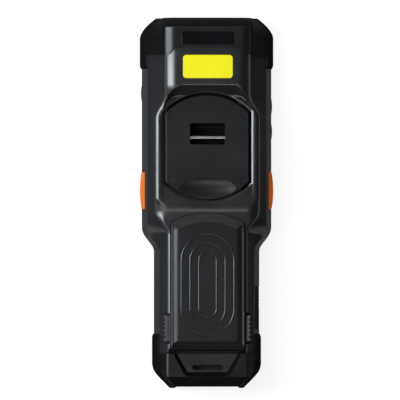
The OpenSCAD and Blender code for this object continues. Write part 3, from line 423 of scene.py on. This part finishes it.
def metal(name, color, roughness, stretch=(1, 14, 1), grain=0.4, depth=0.006):
    """Metal with drawn lines: stretch draws out its grain, whose width and depth are in mm."""
    finish = Finish(name, color, roughness, metallic=1.0)
    finish.mottle(METAL_PATCH, 0.1, shine=0.06)
    mapping = finish.node("ShaderNodeMapping", Scale=stretch)
    finish.link(finish.coords(), mapping.inputs["Vector"])
    lines = finish.node("ShaderNodeTexNoise", Scale=1 / (grain * MM), Detail=2)
    finish.link(mapping.outputs["Vector"], lines.inputs["Vector"])
    finish.bump(lines.outputs["Fac"], depth * MM)
    return finish.material


def circuit_board():
    finish = Finish("circuit_board", (0.012, 0.11, 0.04), 0.32)
    tracks = finish.node("ShaderNodeTexBrick", Scale=180, Mortar_Size=0.06,
                         Color1=(0.010, 0.10, 0.036, 1), Color2=(0.014, 0.13, 0.046, 1),
                         Mortar=(0.03, 0.22, 0.07, 1))
    tracks.offset = 0.3
    finish.link(finish.coords(), tracks.inputs["Vector"])
    finish.link(tracks.outputs["Color"], finish.shader.inputs["Base Color"])
    finish.bump(tracks.outputs["Fac"], 0.03 * MM)
    return finish.material


def screen_glass():
    """Polished cover glass: a black border round the screen."""
    low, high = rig.box("touch_glass")
    centre = (low + high) / 2
    finish = Finish("screen_glass", (0.004, 0.004, 0.005), 0.045)
    split = finish.node("ShaderNodeSeparateXYZ")
    finish.link(finish.coords(), split.inputs["Vector"])
    inside = None
    for axis, border in enumerate(SCREEN_BORDER):
        offset = math_node(finish.tree, "SUBTRACT", split.outputs[axis], centre[axis])
        distance = math_node(finish.tree, "ABSOLUTE", offset)
        less = math_node(finish.tree, "LESS_THAN", distance, (high[axis] - low[axis]) / 2 - border)
        inside = less if inside is None else math_node(finish.tree, "MULTIPLY", inside, less)
    finish.link(finish.mix(inside, (0.003, 0.003, 0.0035), (0.014, 0.016, 0.02)),
                finish.shader.inputs["Base Color"])
    finish.link(finish.ramp(finish.noise(SMEAR_SIZE, 5), *SMEAR_ROUGHNESS),
                finish.shader.inputs["Roughness"])
    return finish.material


def shade(color, factor):
    """A colour made darker or paler."""
    return tuple(c * factor for c in color)


def make_finishes(settings):
    grain = settings.grain
    housing = tuple(settings.housing)
    rubber = tuple(settings.rubber)
    coarse = {"roughness": 0.7, "specular": 0.015}
    housing_side = {"color": tuple(settings.side), "start": 0.52, "end": 0.72, **coarse}
    rubber_side = {"color": rubber, "start": 0.68, "end": 0.82, **coarse}
    return {
        "housing": moulded("housing_plastic", housing, 0.3, grain, depth=0.005, spread=0.06,
                           specular=0.9, side=housing_side),
        # Painted shade: the pocket and slot insides take half the housing's colour, dark as if in shadow; their matte
        # grain is real
        "pocket": moulded("pocket_painted_shade", shade(housing, 0.5), 0.7, grain, spread=0.06,
                          specular=0.04),
        "flank": moulded("flank_plastic", shade(housing, 0.8), 0.36, grain, spread=0.06,
                         specular=0.4),
        "plate": moulded("plate_plastic", shade(housing, 1.15), 0.36, grain, depth=0.008,
                         spread=0.06, specular=0.4),
        "battery": moulded("battery_plastic", housing, 0.38, grain, depth=0.005, spread=0.06,
                           specular=0.4),
        "rubber": moulded("bumper_rubber", shade(rubber, 1.4), 0.34, grain * 0.8, depth=0.008,
                          spread=0.06, specular=0.4, side=rubber_side),
        "seal": moulded("seal_rubber", (0.008, 0.008, 0.009), 0.7, grain),
        "orange": moulded("trigger_orange", tuple(settings.orange), 0.38, grain, depth=0.01,
                          spread=0.05),
        "side_key": moulded("side_key_plastic", (0.03, 0.03, 0.033), 0.4, grain, depth=0.012),
        "number_key": moulded("number_key_plastic", (0.05, 0.05, 0.055), 0.42, grain,
                              depth=0.012),
        "function_key": moulded("function_key_plastic", (0.028, 0.028, 0.032), 0.42, grain,
                                depth=0.012),
        "latch": moulded("latch_plastic", (0.007, 0.007, 0.0075), 0.5, grain, depth=0.012,
                         specular=0.3),
        # Polished rib sides with a painted highlight: 1.6 times the housing's colour makes the rib lines read as lit;
        # the gloss is real
        "rib": moulded("rib_polish_and_painted_highlight", shade(housing, 1.6), 0.28, grain, depth=0.002,
                       spread=0.06, specular=0.6),
        "legend": moulded("legend_ink", (0.72, 0.72, 0.7), 0.45, 0.4 * MM, depth=0.002,
                          spread=0.04),
        "label": moulded("label_film", tuple(settings.label), 0.34, 0.6 * MM, depth=0.004,
                         spread=0.03),
        "nameplate": moulded("nameplate_gloss", (0.004, 0.004, 0.005), 0.12, 0.5 * MM,
                             depth=0.002),
        "cells": moulded("cell_wrap", (0.02, 0.09, 0.28), 0.25, 1.5 * MM, depth=0.03,
                         spread=0.08),
        "module": moulded("module_plastic", (0.015, 0.015, 0.017), 0.5, grain),
        "mat": moulded("mat_rubber", (0.05, 0.05, 0.055), 0.6, grain),
        "display": moulded("display_back", (0.25, 0.27, 0.3), 0.45, 0.8 * MM, depth=0.01),
        "window": moulded("scan_window_film", (0.10, 0.003, 0.005), 0.06, 1 * MM, depth=0.001,
                          specular=0.25),
        "steel": metal("bright_steel", (0.56, 0.57, 0.6), 0.3, depth=0.003),
        "dark_screw": metal("black_screw", (0.05, 0.05, 0.055), 0.4, stretch=(1, 1, 1)),
        "chassis": metal("cast_frame", (0.5, 0.51, 0.53), 0.5, stretch=(1, 1, 1), grain=0.8),
        "gold": metal("gold_contact", (0.85, 0.6, 0.22), 0.25),
        "board": circuit_board(),
        "screen": screen_glass(),
    }


SLOT_FINISH = {
    "housing": "housing", "plate": "plate", "battery_plastic": "battery",
    "latch_plastic": "latch", "seal_rubber": "seal", "bumper_rubber": "rubber",
    "cover_rubber": "rubber", "bright_steel": "steel", "dark_screw": "dark_screw",
    "gloss_black": "nameplate", "yellow_label": "label", "cell_wrap": "cells",
    "contact_gold": "gold", "orange": "orange", "side_key": "side_key",
    "touch_glass": "screen", "display": "display", "chassis": "chassis", "board": "board",
    "mat": "mat", "scan_window": "window", "module_black": "module",
    "function_key": "function_key", "number_key": "number_key",
}
FINISHES = {}


class TERMINAL_OT_finishes(bpy.types.Operator):
    """Gives every CAD node its material"""

    bl_idname = "terminal.finishes"
    bl_label = "Finishes"

    def execute(self, context):
        FINISHES.update(make_finishes(context.scene.terminal_finish))
        for row in frame["record"]["subparts"]:
            obj = NODES[row["node"]]
            material = FINISHES[SLOT_FINISH[row["material_slot"]]]
            if not obj.data.materials:
                obj.data.materials.append(material)
            for i in range(len(obj.data.materials)):
                obj.data.materials[i] = material
        return {"FINISHED"}


# ---------------------------------------------------------------- pieces

# The pieces with rounded edges: node, finish, and share of the edge radius
SHELLS = (
    ("rear_housing", "housing", 1.0), ("front_housing", "flank", 1.0),
    ("top_bumper", "rubber", 1.3), ("bottom_bumper", "rubber", 1.3),
    ("accessory_plate", "plate", 0.9), ("battery_cover", "battery", 0.7),
    ("left_trigger", "orange", 1.2), ("right_trigger", "orange", 1.2),
    ("latch_left", "latch", 0.8), ("latch_right", "latch", 0.8),
    ("port_cover", "rubber", 0.7), ("label_plate", "label", 0.4),
    ("nameplate", "nameplate", 0.5),
)

# Where the ribs of the battery cover are: half width, depth, and upright part of a flat normal
RIB_HALF_WIDTH = 16 * MM
RIB_DEPTH = 0.7 * MM
RIB_FLAT = 0.95

# Room round the strap pocket that shares its matte grain and painted shade, up to a height just over the plate's seat
POCKET_MARGIN = 4 * MM
POCKET_TOP = 27.3 * MM

# The strap slot: half width and half length, and how far below its mount it starts and ends
SLOT_HALF_WIDTH = 11 * MM
SLOT_HALF_LENGTH = 2.6 * MM
SLOT_BOTTOM = 8 * MM
SLOT_TOP = 0.3 * MM

# Printing on the keys: thickness of the ink, and how deep its middle lies in the key
INK_DEPTH = 0.05 * MM
INK_SINK = 0.005 * MM
LEGEND_WEIGHT = 0.08 * MM
KEY_LEGENDS = {**{f"key_{digit}": str(digit) for digit in range(1, 10)},
               "key_left": "*", "key_0": "0", "key_right": "#"}
BAR_LENGTHS = {"function_key_left": 4.4 * MM, "scan_key": 9.0 * MM}
BAR_WIDTH = 0.8 * MM
RING_RADIUS = 1.7 * MM
RING_LINE = 0.36 * MM
RING_FLATNESS = 0.1

# Mesh strip over the earpiece: room left at its sides, gap to the earpiece, and its wire
STRIP_MARGIN = 0.4 * MM
STRIP_GAP = 0.05 * MM
STRIP_WIRE = 0.09 * MM


class TERMINAL_OT_shells(bpy.types.Operator):
    """Rounds the edges of the moulded shells and of the rubber"""

    bl_idname = "terminal.shells"
    bl_label = "Moulded shells"

    def execute(self, context):
        radius = context.scene.terminal_finish.edge_radius
        for node, finish, share in SHELLS:
            rounded_copy(node, node + "_shell", FINISHES[finish], radius * share)
        return {"FINISHED"}


class TERMINAL_OT_polished_ribs(bpy.types.Operator):
    """Polishes the sides of the three ribs on the battery cover, as the mould leaves them, and gives them a painted
    highlight, a colour paler than the housing's
    """

    bl_idname = "terminal.polished_ribs"
    bl_label = "Polished ribs"

    def execute(self, context):
        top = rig.box("battery_cover")[1].z
        refinish(bpy.data.objects["battery_cover_shell"], FINISHES["rib"],
                 lambda face: face.normal.z < RIB_FLAT and face.center.z > top - RIB_DEPTH
                 and abs(face.center.x) < RIB_HALF_WIDTH)
        return {"FINISHED"}


class TERMINAL_OT_strap_pocket(bpy.types.Operator):
    """Gives the insides of the strap pocket and the strap slot a coarse, matte grain and painted shade: their colour
    is half the housing's
    """

    bl_idname = "terminal.strap_pocket"
    bl_label = "Strap pocket"

    def execute(self, context):
        shell = bpy.data.objects["rear_housing_shell"]
        record = frame["record"]
        low, high = record["physics"]["openings"][0]["box_m"]
        refinish(shell, FINISHES["pocket"],
                 within([c - POCKET_MARGIN for c in low],
                        [high[0] + POCKET_MARGIN, high[1] + POCKET_MARGIN, POCKET_TOP]))
        x, y, z = next(mount["pos_m"] for mount in record["mounts"]
                       if mount["name"] == "strap_slot")
        refinish(shell, FINISHES["pocket"],
                 within([x - SLOT_HALF_WIDTH, y - SLOT_HALF_LENGTH, z - SLOT_BOTTOM],
                        [x + SLOT_HALF_WIDTH, y + SLOT_HALF_LENGTH, z - SLOT_TOP]))
        return {"FINISHED"}


class TERMINAL_OT_key_legends(bpy.types.Operator):
    """Prints the digits and signs on the faces of the number keys"""

    bl_idname = "terminal.key_legends"
    bl_label = "Key legends"

    def execute(self, context):
        size = context.scene.terminal_finish.legend_size
        for node, sign in KEY_LEGENDS.items():
            deselect()
            bpy.ops.object.text_add(radius=size, location=under(node, INK_SINK),
                                    rotation=(0, math.pi, 0))
            text = context.object
            text.data.body = sign
            text.data.align_x = "CENTER"
            text.data.align_y = "CENTER"
            text.data.extrude = INK_DEPTH / 2
            text.data.offset = LEGEND_WEIGHT
            text.data.resolution_u = 8
            bpy.ops.object.convert(target="MESH")
            settle(context.object, node + "_legend", FINISHES["legend"], node)
        return {"FINISHED"}


class TERMINAL_OT_function_marks(bpy.types.Operator):
    """Prints a bar on the left function key and on the scan key, and a ring on the right one"""

    bl_idname = "terminal.function_marks"
    bl_label = "Function key marks"

    def execute(self, context):
        for node, length in BAR_LENGTHS.items():
            deselect()
            bpy.ops.mesh.primitive_cylinder_add(vertices=24, radius=BAR_WIDTH / 2, depth=INK_DEPTH,
                                                location=under(node, INK_SINK))
            bar = context.object
            for side in (1, -1):
                move_side(bar, side, (length - BAR_WIDTH) / 2)
            settle(bar, node + "_mark", FINISHES["legend"], node)
        deselect()
        bpy.ops.mesh.primitive_torus_add(
            major_segments=40, minor_segments=8, major_radius=RING_RADIUS,
            minor_radius=RING_LINE, location=under("function_key_right"))
        ring = context.object
        bpy.ops.object.mode_set(mode="EDIT")
        bpy.ops.mesh.select_all(action="SELECT")
        bpy.ops.transform.resize(value=(1, 1, RING_FLATNESS))
        bpy.ops.object.mode_set(mode="OBJECT")
        settle(ring, "function_key_right_mark", FINISHES["legend"], "function_key_right")
        return {"FINISHED"}


class TERMINAL_OT_earpiece_mesh(bpy.types.Operator):
    """Lays a woven mesh strip over the earpiece, behind the slot in the front housing"""

    bl_idname = "terminal.earpiece_mesh"
    bl_label = "Earpiece mesh"

    def execute(self, context):
        low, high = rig.box("earpiece")
        deselect()
        bpy.ops.mesh.primitive_grid_add(x_subdivisions=40, y_subdivisions=6, size=1,
                                        location=under("earpiece", -STRIP_GAP))
        strip = context.object
        bpy.ops.object.mode_set(mode="EDIT")
        bpy.ops.mesh.select_all(action="SELECT")
        bpy.ops.transform.resize(
            value=(high.x - low.x - STRIP_MARGIN, high.y - low.y - STRIP_MARGIN, 1))
        bpy.ops.mesh.flip_normals()
        bpy.ops.object.mode_set(mode="OBJECT")
        apply_modifier(strip, "WIREFRAME", thickness=STRIP_WIRE, use_replace=True)
        settle(strip, "earpiece_mesh", FINISHES["dark_screw"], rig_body("earpiece"))
        return {"FINISHED"}


# ---------------------------------------------------------------- stage

FLOOR_SIZE = 12
FLOOR_DROP = 0.2 * MM
FLOOR_COLOR = (0.22, 0.22, 0.22, 1)

# The world's colour at two heights of the view direction: near the horizon and overhead
SKY_STOPS = ((0.1, (1, 1, 1, 1)), (0.6, (0.5, 0.49, 0.5, 1)))

# The point in the middle of the view, at the height of the flanks
VIEW_CENTRE = (-3.6 * MM, 1.8 * MM, 8 * MM)
SENSOR_WIDTH = 36


def area_light(name, location, target, size, radiance, color, gloss):
    """A soft box of a given size and brightness, aimed at a target.

    Without gloss it shows in no reflection.
    """
    deselect()
    bpy.ops.object.light_add(type="AREA", location=location)
    light = bpy.context.object
    light.name = name
    light.data.shape = "RECTANGLE"
    light.data.size, light.data.size_y = size
    light.data.energy = radiance * math.pi * size[0] * size[1]
    light.data.color = color
    light.visible_glossy = gloss
    aim = Vector(target) - Vector(location)
    light.rotation_euler = aim.to_track_quat("-Z", "Y").to_euler()


def studio_world(strength):
    """Paler at the horizon and darker overhead, as in a studio with a dark ceiling."""
    world = bpy.context.scene.world or bpy.data.worlds.new("studio")
    bpy.context.scene.world = world
    world.use_nodes = True
    tree = world.node_tree
    back = tree.nodes["Background"]
    coords = tree.nodes.new("ShaderNodeTexCoord")
    split = tree.nodes.new("ShaderNodeSeparateXYZ")
    ramp = tree.nodes.new("ShaderNodeValToRGB")
    for stop, (position, color) in zip(ramp.color_ramp.elements, SKY_STOPS):
        stop.position = position
        stop.color = color
    tree.links.new(coords.outputs["Generated"], split.inputs["Vector"])
    tree.links.new(split.outputs["Z"], ramp.inputs["Fac"])
    tree.links.new(ramp.outputs["Color"], back.inputs["Color"])
    back.inputs["Strength"].default_value = strength


def floor_material(glow):
    """Glows for the camera and in reflections, but throws light back as a dark grey floor."""
    material = bpy.data.materials.new("pale_floor")
    material.use_nodes = True
    tree = material.node_tree
    tree.nodes.clear()
    output = tree.nodes.new("ShaderNodeOutputMaterial")
    add = tree.nodes.new("ShaderNodeAddShader")
    diffuse = tree.nodes.new("ShaderNodeBsdfDiffuse")
    diffuse.inputs["Color"].default_value = FLOOR_COLOR
    emission = tree.nodes.new("ShaderNodeEmission")
    path = tree.nodes.new("ShaderNodeLightPath")
    seen = path.outputs["Is Camera Ray"]
    for ray in ("Is Glossy Ray", "Is Transmission Ray"):
        seen = math_node(tree, "MAXIMUM", seen, path.outputs[ray])
    strength = math_node(tree, "MULTIPLY", seen, glow)
    tree.links.new(strength, emission.inputs["Strength"])
    tree.links.new(diffuse.outputs[0], add.inputs[0])
    tree.links.new(emission.outputs[0], add.inputs[1])
    tree.links.new(add.outputs[0], output.inputs["Surface"])
    return material


class TERMINAL_OT_stage(bpy.types.Operator):
    """Floor, lights, world and camera"""

    bl_idname = "terminal.stage"
    bl_label = "Stage"

    def execute(self, context):
        stage = context.scene.terminal_stage
        deselect()
        bpy.ops.mesh.primitive_plane_add(size=FLOOR_SIZE,
                                         location=(0, 0, CAD_LOW.z - FLOOR_DROP))
        floor = context.object
        floor.name = "floor"
        floor.data.materials.append(floor_material(stage.floor_glow))
        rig.stage(floor)
        centre = (CAD_LOW + CAD_HIGH) / 2
        white = (1, 1, 1)
        # Name, place, size, brightness, colour, and whether it shows in reflections
        for name, location, size, radiance, color, gloss in (
                ("key_light", (-0.89, 0.14, 0.87), (0.42, 1.08), stage.key_radiance,
                 (0.86, 0.93, 1.0), True),
                ("fill_light", (0.0, 0.36, 0.14), (0.5, 0.08), stage.fill_radiance, white, False),
                ("right_light", (0.9, 0.0, 0.16), (1.2, 0.16), 1.8, white, False),
                ("top_light", (0.0, 1.6, 0.75), (2.6, 0.9), 0.9, (0.99, 1.0, 0.93), True),
                ("low_light", (-0.2, -0.7, 1.25), (0.9, 0.3), 4.0, (1.0, 0.98, 0.94), True),
                ("left_sky_light", (-0.95, 0.1, 3.2), (1.8, 0.6), 1.0, white, True)):
            area_light(name, location, centre, size, radiance, color, gloss)
        studio_world(stage.sky)
        deselect()
        x, y, z = VIEW_CENTRE
        rise = stage.camera_height - z
        bpy.ops.object.camera_add(
            location=(x - rise * math.tan(stage.camera_tilt), y, stage.camera_height),
            rotation=(0, -stage.camera_tilt, 0))
        camera = context.object
        camera.data.sensor_width = SENSOR_WIDTH
        camera.data.lens = SENSOR_WIDTH * rise / math.cos(stage.camera_tilt) / stage.view_width
        camera.data.clip_start = 0.05
        camera.data.clip_end = 30
        context.scene.camera = camera
        context.scene.view_settings.view_transform = "Standard"
        return {"FINISHED"}


# ---------------------------------------------------------------- panel and registration

OPERATORS = (TERMINAL_OT_finishes, TERMINAL_OT_shells, TERMINAL_OT_polished_ribs,
             TERMINAL_OT_strap_pocket, TERMINAL_OT_key_legends, TERMINAL_OT_function_marks,
             TERMINAL_OT_earpiece_mesh, TERMINAL_OT_stage)


class TERMINAL_PT_panel(bpy.types.Panel):
    """Lists the terminal's operators and settings"""

    bl_idname = "TERMINAL_PT_panel"
    bl_label = "Data terminal"
    bl_space_type = "VIEW_3D"
    bl_region_type = "UI"
    bl_category = "Terminal"

    def draw(self, context):
        layout = self.layout
        for group in (context.scene.terminal_finish, context.scene.terminal_stage):
            for name in group.bl_rna.properties.keys():
                if name not in {"rna_type", "name"}:
                    layout.prop(group, name)
        for operator in OPERATORS:
            layout.operator(operator.bl_idname)


CLASSES = (TerminalFinish, TerminalStage, *OPERATORS, TERMINAL_PT_panel)


def register():
    for cls in CLASSES:
        bpy.utils.register_class(cls)
    bpy.types.Scene.terminal_finish = PointerProperty(type=TerminalFinish)
    bpy.types.Scene.terminal_stage = PointerProperty(type=TerminalStage)


def unregister():
    del bpy.types.Scene.terminal_stage
    del bpy.types.Scene.terminal_finish
    for cls in reversed(CLASSES):
        bpy.utils.unregister_class(cls)


def main():
    register()
    bpy.ops.terminal.finishes()
    bpy.ops.terminal.shells()
    bpy.ops.terminal.polished_ribs()
    bpy.ops.terminal.strap_pocket()
    bpy.ops.terminal.key_legends()
    bpy.ops.terminal.function_marks()
    bpy.ops.terminal.earpiece_mesh()
    bpy.ops.terminal.stage()
    low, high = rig.bounds()
    with open("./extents.json", "w") as file:
        json.dump({"cad": [list(CAD_LOW), list(CAD_HIGH)], "visual": [list(low), list(high)]}, file)


if __name__ == "__main__":
    main()
